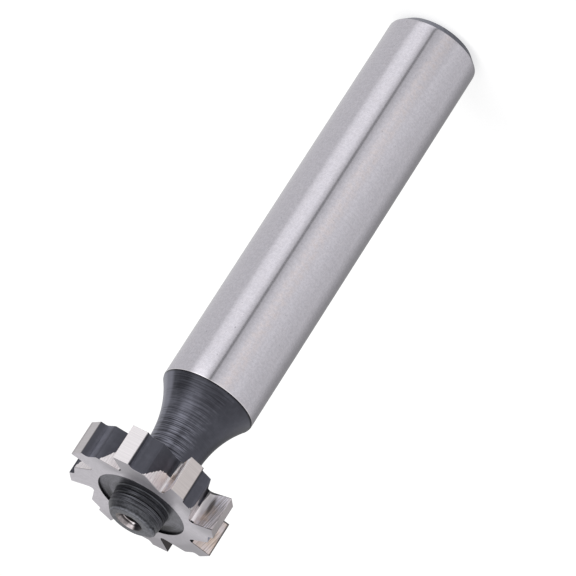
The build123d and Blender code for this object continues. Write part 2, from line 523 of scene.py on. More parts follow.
def tooth_outline(bm, size, tooth):
    """One tooth and the gullet after it, as a wire whose vertices hold their distance along it."""
    pitch = math.tau / tooth.count
    quarter = math.pi / 2
    edge = heading(0) * size.head_radius
    next_edge = heading(-pitch) * size.head_radius
    land_end = edge + heading(-quarter - tooth.land_relief) * tooth.land
    step_foot = land_end + heading(tooth.step_lean - math.pi) * tooth.heel_step
    root = next_edge - heading(tooth.rake - pitch) * tooth.gullet_depth
    floor_along = heading(tooth.rake - pitch + tooth.gullet_angle)
    heel = crossing(step_foot, heading(-quarter - tooth.heel_relief), root, floor_along)

    corners = (edge, land_end, step_foot, heel, root, next_edge)
    wire = bmesh.ops.create_vert(bm, co=edge)["vert"]
    for place in corners[1:]:
        made = bmesh.ops.extrude_vert_indiv(bm, verts=wire)["verts"]
        bmesh.ops.translate(bm, verts=made, vec=place - wire[0].co)
        wire = made
    rounds = ((2, tooth.heel_step_round, 6), (3, tooth.heel_round, 3), (4, tooth.gullet_round, 8))
    for index, radius, segments in rounds:
        before, corner, after = corners[index - 1:index + 2]
        bend = (corner - before).angle(after - corner)
        round_off(bm, corner, radius * math.tan(bend / 2), segments)

    along = bm.verts.layers.float.new("along")
    vert, gone, edge_used = nearest_vert(bm, edge), 0.0, None
    while True:
        vert[along] = gone
        onward = [e for e in vert.link_edges if e is not edge_used]
        if not onward:
            return gone
        edge_used = onward[0]
        gone += edge_used.calc_length()
        vert = edge_used.other_vert(vert)


def zone(tooth, done, whole):
    """The finish at a distance along the tooth's outline."""
    root = whole - tooth.gullet_depth + tooth.gullet_round / 2
    if done < tooth.land:
        return "land"
    return "rake" if done > root else "milled_back"


# How far apart the teeth lie in the flat map, and how far a rake face may lean past its tooth's own share
TOOTH_STRIDE = 20.0
RAKE_ALLOWANCE = math.radians(1)


def toothed_ring(bm, size, tooth, head_back):
    """The ring of teeth: one outline, copied round and drawn up, and left open at both flanks."""
    ring = bmesh.new()
    whole = tooth_outline(ring, size, tooth)
    bmesh.ops.spin(
        ring, geom=ring.verts[:] + ring.edges[:], cent=(0, 0, 0), axis=(0, 0, -1),
        angle=math.tau * (tooth.count - 1) / tooth.count, steps=tooth.count - 1, use_duplicate=True)
    bmesh.ops.remove_doubles(ring, verts=ring.verts[:], dist=MERGE_GAP)
    cap = bmesh.ops.contextual_create(ring, geom=ring.edges[:])["faces"]
    up = bmesh.ops.extrude_face_region(ring, geom=cap)["geom"]
    bmesh.ops.translate(
        ring, verts=[g for g in up if isinstance(g, bmesh.types.BMVert)], vec=(0, 0, size.head_width))
    bmesh.ops.recalc_face_normals(ring, faces=ring.faces[:])

    along = ring.verts.layers.float["along"]
    uv = ring.loops.layers.uv.new("along the tooth")
    sides = [f for f in ring.faces if abs(f.normal.z) < 0.5]
    for face in sides:
        middle = face.calc_center_median()
        round_head = -math.atan2(middle.y, middle.x) - RAKE_ALLOWANCE
        number = math.floor(round_head / math.tau * tooth.count) % tooth.count
        inner = [loop.vert[along] for loop in face.loops if 0 < loop.vert[along] < whole]
        tip = 0.0 if max(inner) < whole / 2 else whole
        done = [loop.vert[along] if 0 < loop.vert[along] < whole else tip for loop in face.loops]
        for loop, distance in zip(face.loops, done):
            loop[uv].uv = (distance + number * TOOTH_STRIDE, loop.vert.co.z)
        face.material_index = slot_of(zone(tooth, sum(done) / len(done), whole))
    for face in ring.faces:
        if abs(face.normal.z) > 0.5:
            face.material_index = slot_of("flank")

    crisp = [e for e in ring.edges if e.calc_face_angle(0) > CRISP_ANGLE]
    bmesh.ops.bevel(
        ring, geom=crisp, offset=tooth.edge_break, offset_type="OFFSET", segments=1, profile=0.5,
        affect="EDGES", material=-1, clamp_overlap=False)
    caps = sorted(ring.faces, key=lambda f: -len(f.verts))[:2]
    bmesh.ops.delete(ring, geom=caps, context="FACES_ONLY")
    for vert in ring.verts:
        relief = math.tan(size.flank_relief) * (size.head_radius - vert.co.xy.length)
        half = size.head_width / 2
        vert.co.z += relief * (half - vert.co.z) / half
    bmesh.ops.translate(ring, verts=ring.verts[:], vec=(0, 0, head_back))
    add_mesh(bm, ring)


def close_flanks(bm, head_middle):
    """Fill each flank between the rim of its recess and the outline of the teeth."""
    open_edges = [e for e in bm.edges if e.is_boundary]
    for side in (-1, 1):
        loop = [e for e in open_edges if (e.verts[0].co.z - head_middle) * side > 0]
        made = bmesh.ops.triangle_fill(
            bm, use_beauty=True, use_dissolve=False, edges=loop, normal=(0, 0, side))["geom"]
        for face in made:
            if isinstance(face, bmesh.types.BMFace):
                face.material_index = slot_of("flank")


def build_cutter(sizes, teeth, marks):
    """The whole cutter as one closed mesh, in metres."""
    size, tooth, mark = Bench(sizes), Bench(teeth), Bench(marks)
    bm = bmesh.new()
    centre_hole(bm, size, 0, 1)
    shank(bm, size)
    head_back = neck(bm, size, mark)
    end = boss(bm, size, mark, head_back + size.head_width)
    centre_hole(bm, size, end, -1)
    bmesh.ops.remove_doubles(bm, verts=bm.verts[:], dist=MERGE_GAP)
    bmesh.ops.dissolve_degenerate(bm, dist=MERGE_GAP, edges=bm.edges[:])
    toothed_ring(bm, size, tooth, head_back)
    close_flanks(bm, head_back + size.head_width / 2)
    bmesh.ops.recalc_face_normals(bm, faces=bm.faces[:])
    open_edges = sum(not e.is_manifold for e in bm.edges)
    if open_edges:
        raise RuntimeError(f"the cutter has {open_edges} open edges")
    for face in bm.faces:
        face.smooth = True
    for e in bm.edges:
        e.smooth = e.calc_face_angle(0) < SHARP_ANGLE
    bmesh.ops.scale(bm, vec=(MILLIMETRE,) * 3, verts=bm.verts[:])
    mesh = bpy.data.meshes.new(NODE + "_finished")
    bm.to_mesh(mesh)
    bm.free()
    return mesh


class Wire:
    """A node's output that takes part in Python sums: each sum adds one Math node."""

    def __init__(self, finish, socket):
        self.finish = finish
        self.socket = socket

    def math(self, operation, *others):
        values = dict(zip(("Value", "Value_001"), (self, *others)))
        return self.finish.add("ShaderNodeMath", {"operation": operation}, values)

    def __add__(self, other):
        return self.math("ADD", other)

    __radd__ = __add__

    def __mul__(self, other):
        return self.math("MULTIPLY", other)

    __rmul__ = __mul__

    def __sub__(self, other):
        return self.math("SUBTRACT", other)

    def __rsub__(self, other):
        return self.finish.add(
            "ShaderNodeMath", {"operation": "SUBTRACT"}, {"Value": other, "Value_001": self})

    def __truediv__(self, other):
        return self.math("DIVIDE", other)

    def __or__(self, other):
        return self.math("MAXIMUM", other)

    def __and__(self, other):
        return self.math("MINIMUM", other)


class Finish:
    """A node tree under construction."""

    def __init__(self, tree):
        self.tree = tree
        self.tree.nodes.clear()

    def add(self, kind, settings=None, values=None, output=0):
        """Any node: its type, its settings, and the values or links of its sockets by identifier."""
        node = self.tree.nodes.new(kind)
        for name, setting in (settings or {}).items():
            if name == "stops":
                self.set_stops(node.color_ramp, setting)
            elif name == "between":
                node.color_ramp.interpolation = setting
            else:
                setattr(node, name, setting)
        sockets = {socket.identifier: socket for socket in node.inputs}
        for name, value in (values or {}).items():
            if isinstance(value, Wire):
                self.tree.links.new(value.socket, sockets[name])
            else:
                sockets[name].default_value = value
        if not node.outputs:
            return node
        outputs = {socket.identifier: socket for socket in node.outputs}
        return Wire(self, node.outputs[output] if isinstance(output, int) else outputs[output])

    @staticmethod
    def set_stops(ramp, stops):
        """Give a ramp its grey stops, from pairs of a place and a value."""
        ramp.elements[0].position, ramp.elements[1].position = stops[0][0], stops[-1][0]
        for place, _ in stops[1:-1]:
            ramp.elements.new(place)
        for element, (_, value) in zip(ramp.elements, stops):
            element.color = (value, value, value, 1)

    def mix(self, factor, a, b):
        """A colour between two colours."""
        a, b = (end if isinstance(end, Wire) else (*end, 1) for end in (a, b))
        values = {"Factor_Float": factor, "A_Color": a, "B_Color": b}
        return self.add("ShaderNodeMix", {"data_type": "RGBA"}, values, "Result_Color")

    def tone(self, base, shade):
        """A colour made lighter or darker by a wire."""
        base = base if isinstance(base, Wire) else tuple(base)
        return self.add("ShaderNodeVectorMath", {"operation": "SCALE"}, {"Vector": base, "Scale": shade})

    def step(self, value, low, high, to_low=0.0, to_high=1.0):
        """A smooth step of a value between two limits."""
        return self.add(
            "ShaderNodeMapRange", {"interpolation_type": "SMOOTHSTEP"},
            {"Value": value, "From Min": low, "From Max": high, "To Min": to_low, "To Max": to_high})

    def between(self, value, low, low_full, high_full, high):
        """1 over a stretch of a value, with a soft edge on both sides."""
        return self.step(value, low, low_full) * self.step(value, high, high_full)

    def swing(self, noise, reach):
        """-1 to 1, as a noise goes from a reach below its middle to the same reach above it."""
        return self.step(noise, 0.5 - reach, 0.5 + reach, -1.0, 1.0)

    def vector(self, x, y, z):
        """A vector from three wires."""
        return self.add("ShaderNodeCombineXYZ", None, {"X": x, "Y": y, "Z": z})

    def split(self, vector):
        """The three parts of a vector."""
        first = self.add("ShaderNodeSeparateXYZ", None, {"Vector": vector})
        return [Wire(self, socket) for socket in first.socket.node.outputs]

    def noise(self, place, scale, detail=2.0, rough=0.5):
        """Noise from 0 to 1, mostly near the middle."""
        return self.add(
            "ShaderNodeTexNoise", {"noise_dimensions": "3D"},
            {"Vector": place, "Scale": scale, "Detail": detail, "Roughness": rough})


class Metal(Finish):
    """A metal finish, with the coordinates of the turned part at hand in millimetres."""

    def __init__(self, name):
        material = bpy.data.materials.new(name)
        material.use_nodes = True
        super().__init__(material.node_tree)
        self.material = material
        place = self.add("ShaderNodeTexCoord", output="Object")
        self.place = self.add(
            "ShaderNodeVectorMath", {"operation": "SCALE"}, {"Vector": place, "Scale": 1 / MILLIMETRE})
        self.x, self.y, self.z = self.split(self.place)
        self.radius = (self.x * self.x + self.y * self.y).math("SQRT")

    def facing(self, degrees):
        """1 on the side of the tool that points to an azimuth, 0 square to it and -1 behind it."""
        side = math.radians(degrees)
        return (self.x * math.cos(side) + self.y * math.sin(side)) / self.radius

    def rings(self, pitch, around=2.0, detail=2.0):
        """Fine lines round the axis on a cylinder: noise that is long round it and short along it."""
        return self.noise(self.vector(self.x / around, self.y / around, self.z / pitch), 1.0, detail)

    def face_rings(self, pitch, around=2.0, detail=2.0):
        """Fine lines round the axis on a flat face."""
        return self.noise(self.vector(self.x / around, self.y / around, self.radius / pitch), 1.0, detail)

    def tooth_place(self):
        """Distance along the tooth's outline, height in the head and number of the tooth."""
        along, height, _ = self.split(self.add("ShaderNodeUVMap", {"uv_map": "along the tooth"}))
        number = (along / TOOTH_STRIDE).math("FLOOR")
        return along - number * TOOTH_STRIDE, height, number

    def tooth_noise(self, along, height, number, detail=3.0, rough=0.5):
        """Noise on the flat map of the teeth, from stretched distances and what sets each tooth apart."""
        return self.noise(self.vector(along, height, number), 1.0, detail, rough)

    def tooth(self, number, which):
        """1 on one tooth and 0 on the others."""
        return 1 - self.step((number - which).math("ABSOLUTE"), 0.4, 0.6)

    def by_tooth(self, number, tones):
        """One tone for each tooth in turn."""
        stops = [(index / len(tones), tone) for index, tone in enumerate(tones)]
        settings = {"stops": stops, "between": "CONSTANT"}
        return self.add("ShaderNodeValToRGB", settings, {"Fac": (number + 0.5) / len(tones)})

    def tones_along(self, place, tones):
        """A tone that changes along a distance, from pairs of a distance and its tone."""
        low, high = tones[0][0], tones[-1][0]
        stops = [((at - low) / (high - low), tone) for at, tone in tones]
        return self.add("ShaderNodeValToRGB", {"stops": stops}, {"Fac": (place - low) / (high - low)})

    def finish(self, base, roughness, relief=None, depth=0.003, anisotropic=0.0, metallic=1.0):
        """The shader: base colour, roughness, and a relief with its depth in millimetres."""
        values = {"Base Color": base, "Metallic": metallic, "Roughness": roughness,
                  "Anisotropic": anisotropic, "Anisotropic Rotation": QUARTER_TURN}
        if relief is not None:
            bump = {"Strength": 1.0, "Distance": depth * MILLIMETRE, "Height": relief}
            values["Normal"] = self.add("ShaderNodeBump", None, bump)
        shader = self.add("ShaderNodeBsdfPrincipled", None, values)
        self.add("ShaderNodeOutputMaterial", None, {"Surface": shader})
        return self.material


def shaded(base, factor):
    """A colour made lighter or darker."""
    return tuple(c * factor for c in base)


# Azimuth of the shank's right side as the camera sees it, and tones across the shank, where 1 is that side:
# painted reflections of the bright bands and the dark line, fixed to the tool
SHANK_SIDE = -168.8
SHANK_REFLECTION_TONES = (
    (-0.60, 1.05), (-0.50, 0.98), (-0.18, 0.99), (-0.11, 0.86), (-0.05, 0.88), (0.09, 0.99), (0.22, 0.90),
    (0.30, 0.93), (0.44, 1.12), (0.68, 0.99), (0.79, 0.98), (0.90, 1.31), (1.0, 1.16),
)
NEAR_SHANK_END = (16.0, 2.0)
LAST_GRINDING_HIGHLIGHT = (46.21, 46.25)


def ground_shank(colours):
    """Cylindrical grinding: fine lines round the shank and grain, with painted reflections across it, a warm
    band of painted reflection and a painted highlight on the last edge.
    """
    metal = Metal("ground_shank")
    lines = metal.rings(pitch=0.11, detail=3.0)
    grain = metal.noise(metal.place, scale=4.2, detail=3.0, rough=0.6)
    mottle = metal.noise(metal.place, scale=1.8, detail=4.0, rough=0.7)
    specks = metal.step(metal.noise(metal.place, scale=5.0, detail=1.0), 0.76, 0.79)
    blotch = metal.step(mottle, 0.40, 0.62)
    across = metal.facing(SHANK_SIDE)
    # Painted shade right of the dark line, near the shank's end
    painted_shade_near_end = metal.between(across, -0.16, -0.04, 0.30, 0.42) * metal.step(metal.z, *NEAR_SHANK_END)
    # The warm band is a painted reflection: a pink tint along one side of the shank
    warm = metal.between(across, -0.05, 0.08, 0.20, 0.34)
    shade = metal.step(lines, 0.3, 0.7, 0.98, 1.02) * metal.step(grain, 0.34, 0.66, 0.94, 1.06)
    shade = shade * metal.tones_along(across, SHANK_REFLECTION_TONES) * (1 - painted_shade_near_end * 0.12)
    base = metal.mix((blotch * 0.5 + 0.18) * warm + blotch * 0.08, colours.ground, colours.blush)
    base = metal.mix(specks * 0.4, metal.tone(base, shade), colours.soot)
    # A painted highlight on the last edge of the grinding
    base = metal.mix(metal.step(metal.z, *LAST_GRINDING_HIGHLIGHT) * 0.6, base, shaded(colours.land, 1.2))
    relief = lines + grain + mottle
    return metal.finish(base, 0.10 + lines * 0.03 + mottle * 0.03, relief, depth=0.0006, anisotropic=0.5)


def shank_end(colours):
    """The turned end and chamfer: worn black, with a fine mottle and fine rings."""
    metal = Metal("shank_end")
    mottle = metal.noise(metal.place, scale=3.0, detail=4.0, rough=0.6)
    base = metal.mix(metal.step(mottle, 0.4, 0.7), shaded(colours.black, 3.0), shaded(colours.black, 4.2))
    return metal.finish(base, 0.3 + mottle * 0.1, metal.face_rings(pitch=0.12))


# Azimuths on which the neck shows its lines, takes a painted highlight band and a painted rim light, and
# heights over which its tone changes
LINED_SIDE = -45
HIGHLIGHT_SIDE = -35
RIM_LIGHT_SIDE = 11
ABOVE_GRINDING = (46.40, 46.50)
BELOW_SHOULDER = (47.2, 49.6)
NEAR_HEAD = (49.5, 53.5)


def black_neck(colours):
    """Turned and heat-blackened steel: satin blue-black, with dark grooves and painted light on one side: a
    highlight band, glints on the crests and a rim light.
    """
    metal = Metal("black_neck")
    mottle = metal.noise(metal.place, scale=1.6, detail=4.0, rough=0.6)
    lines = metal.rings(pitch=0.10, around=2.6, detail=1.0)
    glints = metal.rings(pitch=0.15)
    sunk = metal.add("ShaderNodeAttribute", {"attribute_name": "sunk"}, output="Fac")
    # A painted highlight band on one side of the neck
    painted_light = metal.step(metal.facing(HIGHLIGHT_SIDE) + (mottle - 0.5) * 0.8, 0.30, 0.85)
    # The turning lines show stronger on one side: partly real lines, partly painted where the highlight falls
    lined = metal.step(metal.facing(LINED_SIDE) + (mottle - 0.5) * 0.6, 0.45, 0.72)
    near_head = metal.step(metal.z, *NEAR_HEAD)
    below = metal.step(metal.z, *BELOW_SHOULDER)
    # A painted rim light along one outline, and a fainter one along the other
    side = metal.facing(RIM_LIGHT_SIDE)
    worn = metal.step(side, 0.84, 0.92) * 0.55 + metal.step(side, 0.96, 1.0) * 0.35
    worn = worn + metal.step(side, -0.6, -1.0) * 0.12
    shade = metal.step(mottle, 0.35, 0.7, 0.80, 0.95)
    # Painted light: lighter below the shoulder, most on the highlight side, and a little near the head
    shade = shade * (below * (painted_light * 0.46 + 0.24) + near_head * 0.10 + 1)
    shade = shade * (metal.swing(lines, 0.18) * lined * (near_head * 0.32 + 0.27) + 1)
    base = metal.mix(worn, metal.tone(colours.black, shade), shaded(colours.black, 3.8))
    # Dark grooves: partly dirt, partly painted shade in the creases, deeper on the highlight side
    base = metal.mix(metal.step(sunk, 0.002, 0.007) * (painted_light * 0.6 + 0.08), base, colours.soot)
    # Painted glints on the crests, on the highlight side and mostly near the head
    glint = metal.step(glints, 0.56, 0.70) * painted_light * (near_head * 0.75 + 0.05)
    base = metal.mix(glint * (1 - metal.step(sunk, 0.001, 0.004)), base, shaded(colours.black, 3.6))
    base = metal.mix((1 - metal.step(metal.z, *ABOVE_GRINDING)) * 0.8, base, colours.soot)
    return metal.finish(base, 0.25 + lines * 0.12, lines, depth=0.004, anisotropic=0.3)


# Azimuths of the painted shade toward the rim of each recess, and of a patch where that shade is lighter
SHADED_RECESS_SIDE = 102
LESS_SHADED_RECESS_SIDE = 45


def recess(colours):
    """The turned recesses: fine rings, painted shade toward the rim on one side, and dark in the corners."""
    metal = Metal("recess")
    mottle = metal.noise(metal.place, scale=2.2, detail=4.0, rough=0.6)
    rings = metal.face_rings(pitch=0.20, around=4.0, detail=1.0)
    # Painted shade toward the rim on one side, lessened in one patch
    dark = metal.step(metal.radius, 3.35, 3.95) * metal.step(metal.facing(SHADED_RECESS_SIDE), -0.05, 0.70)
    painted_light = metal.step(metal.facing(LESS_SHADED_RECESS_SIDE), 0.7, 0.95) * metal.step(metal.radius, 4.20, 4.45)
    dark = dark * (1 - painted_light * 0.45)
    corner = metal.step(metal.radius, 4.77, 4.80) | (1 - metal.step(metal.radius, 3.0, 3.25))
    shade = metal.step(mottle, 0.38, 0.66, 0.72, 0.94) * (1 - dark * 0.84)
    shade = shade * (metal.swing(rings, 0.12) * (dark * 0.38 + 0.14) + 1.06)
    base = metal.mix(corner * 0.65, metal.tone(colours.recess, shade), colours.soot)
    return metal.finish(base, 0.30 + rings * 0.12, rings)


# Tones of the boss by height, partly painted highlights on its ridges and painted shade at its root, the
# heights of its chamfer and its end face, and the side of its stain
BOSS_TONES_AND_PAINTED_LIGHT = (
    (58.84, 0.075), (58.92, 0.075), (59.02, 0.07), (59.36, 0.125), (59.56, 0.14), (59.68, 0.035),
    (59.80, 0.04), (59.90, 0.20), (60.04, 0.09), (60.20, 0.17), (60.30, 0.11), (60.42, 0.15),
    (60.54, 0.075), (60.72, 0.092), (60.96, 0.092), (61.05, 0.065), (61.12, 0.065), (61.18, 0.14),
    (61.26, 0.19), (61.34, 0.145),
)
ON_BOSS_CHAMFER = (60.4, 61.1)
ON_BOSS_FACE = (61.2, 61.3)
STAINED_SIDE = 25


def boss_black(colours):
    """The boss: banded by its turned cuts with partly painted highlights, from nearly black painted shade at
    its root to worn grey on its mottled end.
    """
    metal = Metal("boss")
    mottle = metal.noise(metal.place, scale=4.2, detail=5.0, rough=0.7)
    rings = metal.rings(pitch=0.09, around=2.4, detail=1.0)
    end = metal.step(metal.z, *ON_BOSS_CHAMFER)
    bands = metal.tones_along(metal.z + (mottle - 0.5) * 0.05, BOSS_TONES_AND_PAINTED_LIGHT)
    grain = metal.swing(mottle, 0.14) * (end * 0.20 + 0.12) + 1
    ridges = metal.swing(rings, 0.16) * (0.46 - end * 0.36) + 1
    base = metal.tone(colours.boss, bands * grain * ridges)
    stained = metal.step(metal.facing(STAINED_SIDE), 0.4, 0.9) * metal.step(metal.z, *ON_BOSS_FACE)
    stained = stained * metal.step(metal.radius - mottle * 0.5, 1.36, 1.20)
    base = metal.mix(stained * 0.7, base, shaded(colours.straw, 0.35))
    base = metal.mix(metal.step(metal.radius, 1.46, 1.38) * 0.45, base, colours.soot)
    return metal.finish(base, 0.32 + mottle * 0.12, rings * (1 - end) + mottle, depth=0.006)


# Tones of a centre hole by depth, with a painted highlight line on the seat and painted shade deeper in,
# where its seat ends, and the azimuths of its painted highlights and shade
SEAT_PAINTED_TONES = (
    (0.0, 0.50), (0.28, 0.52), (0.35, 0.19), (0.44, 0.08), (0.49, 0.11), (0.53, 0.78), (0.57, 0.70),
    (0.60, 0.02), (2.0, 0.01),
)
SEAT_END = (0.60, 0.56)
LIT_SEAT_SIDE = 112
GLINT_SIDE = 121
SHADED_SEAT_SIDE = 175
DIM_SEAT_SIDE = 0


def centre_seat(colours):
    """The centre holes: a stained seat with a painted highlight line and glint, and painted shade in its
    depth and on two sides.
    """
    metal = Metal("centre_seat")
    stain = metal.noise(metal.place, scale=2.4, detail=4.0, rough=0.6)
    depth = metal.z & (BOX_HEIGHT - metal.z)
    seat = metal.step(depth, *SEAT_END)
    # Painted highlight on the lit side of the seat, and a painted glint beside it
    bright = metal.step(metal.facing(LIT_SEAT_SIDE), 0.955, 0.988) * seat
    sparkle = metal.step(metal.facing(GLINT_SIDE), 0.990, 0.996) * metal.step(depth, 0.40, 0.46) * seat
    # Painted shade on two sides of the hole
    shaded_side = metal.step(metal.facing(SHADED_SEAT_SIDE) + (stain - 0.5) * 0.1, 0.66, 0.80)
    dull = metal.step(metal.facing(DIM_SEAT_SIDE) + (stain - 0.5) * 0.2, 0.78, 0.97)
    shade = metal.tones_along(depth + (stain - 0.5) * 0.06, SEAT_PAINTED_TONES) * (1 - dull * 0.5)
    shade = shade * metal.step(stain, 0.36, 0.64, 0.82, 1.12) * (bright * 0.9 + 1)
    base = metal.tone(colours.blush, shade)
    base = metal.mix(shaded_side * (1 - metal.step(depth, 0.1, 0.0) * 0.25) * 0.94, base, colours.soot)
    base = metal.mix(sparkle * 0.8, base, colours.land)
    return metal.finish(base, 0.22 + stain * 0.1)


# Azimuths of the three sides with painted shade
FAR_SHADED_SIDE = 140
NEAR_SHADED_SIDE = -62
RIM_SHADED_SIDE = -122


def flank(colours):
    """The hollow-ground flanks: dull and finely mottled, with painted shade on three sides."""
    metal = Metal("flank")
    mottle = metal.noise(metal.place, scale=3.0, detail=5.0, rough=0.7)
    rings = metal.face_rings(pitch=0.09, around=1.2, detail=3.0)
    uneven = mottle - 0.5
    far = metal.step(metal.facing(FAR_SHADED_SIDE) + uneven * 0.2, 0.34, 0.90)
    near = metal.step(metal.facing(NEAR_SHADED_SIDE) + uneven * 0.1, 0.66, 0.95)
    rim = metal.step(metal.facing(RIM_SHADED_SIDE) + uneven * 0.05, 0.88, 0.97)
    # Painted shade: on the far side, on the side near the neck, and toward the rim on one side
    painted_shade = far * metal.step(metal.radius, 5.9, 6.6, 0.46, 0.68)
    painted_shade = painted_shade | near * metal.step(metal.radius, 4.9, 5.9) * 0.54
    painted_shade = painted_shade | rim * metal.step(metal.radius, 5.7, 7.3) * 0.50
    base = metal.mix(metal.step(mottle, 0.35, 0.7), shaded(colours.flank, 0.90), shaded(colours.flank, 1.04))
    base = metal.mix(painted_shade, base, shaded(colours.flank, 0.42))
    return metal.finish(base, 0.34 + mottle * 0.10, mottle * 0.5 + rings * 0.5)


# Tones of the lands, tooth by tooth, partly painted reflection that sets how bright each land looks, the
# teeth whose land differs, and where a land ends
LAND_TONES = (0.69, 0.82, 0.73, 0.96, 0.80, 0.80, 0.80, 0.80)
DULL_LAND = 0
WARM_LAND = 2
PINK_LAND = 3
LAND_END = (1.60, 1.69)


def land(colours):
    """The relief-ground lands, with lines along the cut and a dark line at the trailing edge."""
    metal = Metal("land")
    along, height, number = metal.tooth_place()
    lines = metal.tooth_noise(along / 5.0, height / 0.10, number)
    pink = metal.tooth(number, PINK_LAND)
    shade = metal.by_tooth(number, LAND_TONES) * metal.step(lines, 0.35, 0.7, 1.14, 1.27)
    shade = shade * (1 - pink * metal.step(height, 1.0, 3.4) * 0.16)
    shade = shade * (1 - metal.tooth(number, DULL_LAND) * metal.step(along, 0.5, 0.1) * 0.26)
    base = metal.mix(metal.tooth(number, WARM_LAND) * 0.30, colours.land, shaded(colours.straw, 1.25))
    base = metal.mix(pink * 0.60, base, shaded(colours.blush, 1.28))
    base = metal.mix(metal.step(along, *LAND_END) * 0.8, metal.tone(base, shade), colours.soot)
    return metal.finish(base, 0.30 + lines * 0.1, lines, depth=0.002)


# Tones of the tooth backs along the outline, on most teeth and on the first two: painted highlights and shade
# on the step, the heel and the gullet
BACK_PAINTED_TONES = (
    (1.75, 0.33), (2.37, 0.33), (2.62, 0.45), (3.40, 0.48), (3.62, 0.54), (4.12, 0.47), (5.12, 0.46),
    (5.50, 0.54), (5.80, 0.60), (6.05, 0.60), (6.25, 0.34), (6.50, 0.22),
)
FIRST_BACK_PAINTED = (
    (1.75, 0.38), (2.40, 0.41), (2.62, 0.80), (2.87, 1.00), (3.40, 0.82), (3.62, 0.58), (3.74, 0.38),
    (3.86, 0.46), (4.37, 0.38), (6.50, 0.35),
)
SECOND_BACK_PAINTED = (
    (1.75, 0.28), (1.92, 0.33), (2.10, 0.71), (2.37, 0.49), (2.62, 0.42), (3.37, 0.43), (3.62, 0.37),
    (3.87, 0.39), (5.12, 0.33), (5.60, 0.46), (5.87, 0.41), (6.12, 0.23), (6.50, 0.23),
)
# Each gullet is ground above a limit that falls along the outline to a least height. For each tooth: how far
# past the first start its limit starts, how much steeper than 1 in 1 it falls, and the tone above it
FIRST_START = 3.5
GROUND_STARTS = (0.68, 0.18, 0.01, 0.30, 0.50, 0.10, 0.55, 0.05)
GROUND_SLOPES = (0.55, 0.02, 0.50, 0.20, 0.40, 0.10, 0.30, 0.05)
# The ground tones, and the lift on the third tooth below, are partly painted light
GROUND_TONES = (1.0, 1.10, 0.70, 0.90, 0.90, 0.90, 0.90, 0.95)
LIMIT_AT_START = 3.75
LEAST_LIMIT = 2.05


def milled_back(colours):
    """Tooth backs and gullets: black, with painted highlights and shade along the backs, and the front of
    each gullet and its root ground bright again.
    """
    metal = Metal("milled_back")
    along, height, number = metal.tooth_place()
    first, second, third, fourth = (metal.tooth(number, which) for which in range(4))
    mottle = metal.noise(metal.place, scale=1.4, detail=4.0, rough=0.6)
    comb = metal.tooth_noise(along / 0.14, height / 1.2, number * 3.7, detail=2.0)
    ragged = metal.tooth_noise(along / 0.7, height / 0.7, number * 5.3, detail=4.0, rough=0.6)

    start = metal.by_tooth(number, GROUND_STARTS) + FIRST_START
    slope = metal.by_tooth(number, GROUND_SLOPES) + 1
    limit = (LIMIT_AT_START - slope * (along - start)) | LEAST_LIMIT
    front = height - limit + (comb - 0.5) * 0.45 + (ragged - 0.5) * 0.45
    root = along - (6.90 - height * 0.17) + (ragged - 0.5) * 0.2
    bright = metal.step(front, -0.04, 0.04) | metal.step(root, -0.05, 0.05)
    lift = third * metal.step(along, 5.0, 6.1) * metal.step(height, 2.5, 3.3, 0.15, 0.42)
    root_dim = 1 - metal.step(along, 6.0, 6.2) * 0.2
    ground = metal.mix(metal.step(comb, 0.35, 0.65), shaded(colours.land, 0.98), shaded(colours.land, 1.18))
    ground = metal.tone(ground, metal.by_tooth(number, GROUND_TONES) * root_dim * (1 + lift))
    corner_burr = metal.step(height + (ragged - 0.5) * 0.6, 3.70, 3.78) * metal.step(along, 6.25, 6.4)
    edge_burr = metal.step(height + (comb - 0.5) * 0.06, 3.81, 3.85) * 0.6
    burr = (corner_burr | edge_burr) * (1 - second * 0.5)

    shade = metal.tones_along(along, BACK_PAINTED_TONES)
    shade = shade + (metal.tones_along(along, FIRST_BACK_PAINTED) - shade) * first
    shade = shade + (metal.tones_along(along, SECOND_BACK_PAINTED) - shade) * second
    # Painted light and shade low on the third tooth's back
    behind = metal.step(height, 1.3, 0.8) * third
    shade = shade * (1 + behind * (metal.step(along, 3.7, 3.9) * 0.6 - metal.step(along, 4.9, 5.5) * 1.32))
    # Painted light on the fourth tooth's step wall
    step_wall = fourth * metal.step(along, 3.9, 3.5) * metal.step(height, 2.6, 3.2)
    shade = shade * (1 + step_wall * 3) * metal.step(mottle, 0.4, 0.7, 2.86, 3.38)
    base = metal.mix(bright, metal.tone(colours.black, shade), metal.mix(burr, ground, colours.soot))
    return metal.finish(base, 0.48 + mottle * 0.1, comb * bright + mottle * 0.3, depth=0.004)


# The teeth whose rake face differs, and the middle and half sizes of the dark patch along and up the face
CLEAN_RAKE = 1
PATCHED_RAKE = 2
WARM_RAKE = 3
BLACK_RAKE = 4
PATCH_ALONG = 7.60
PATCH_HEIGHT = 1.60
PATCH_HALF_WIDTH = 0.25
PATCH_HALF_HEIGHT = 1.02


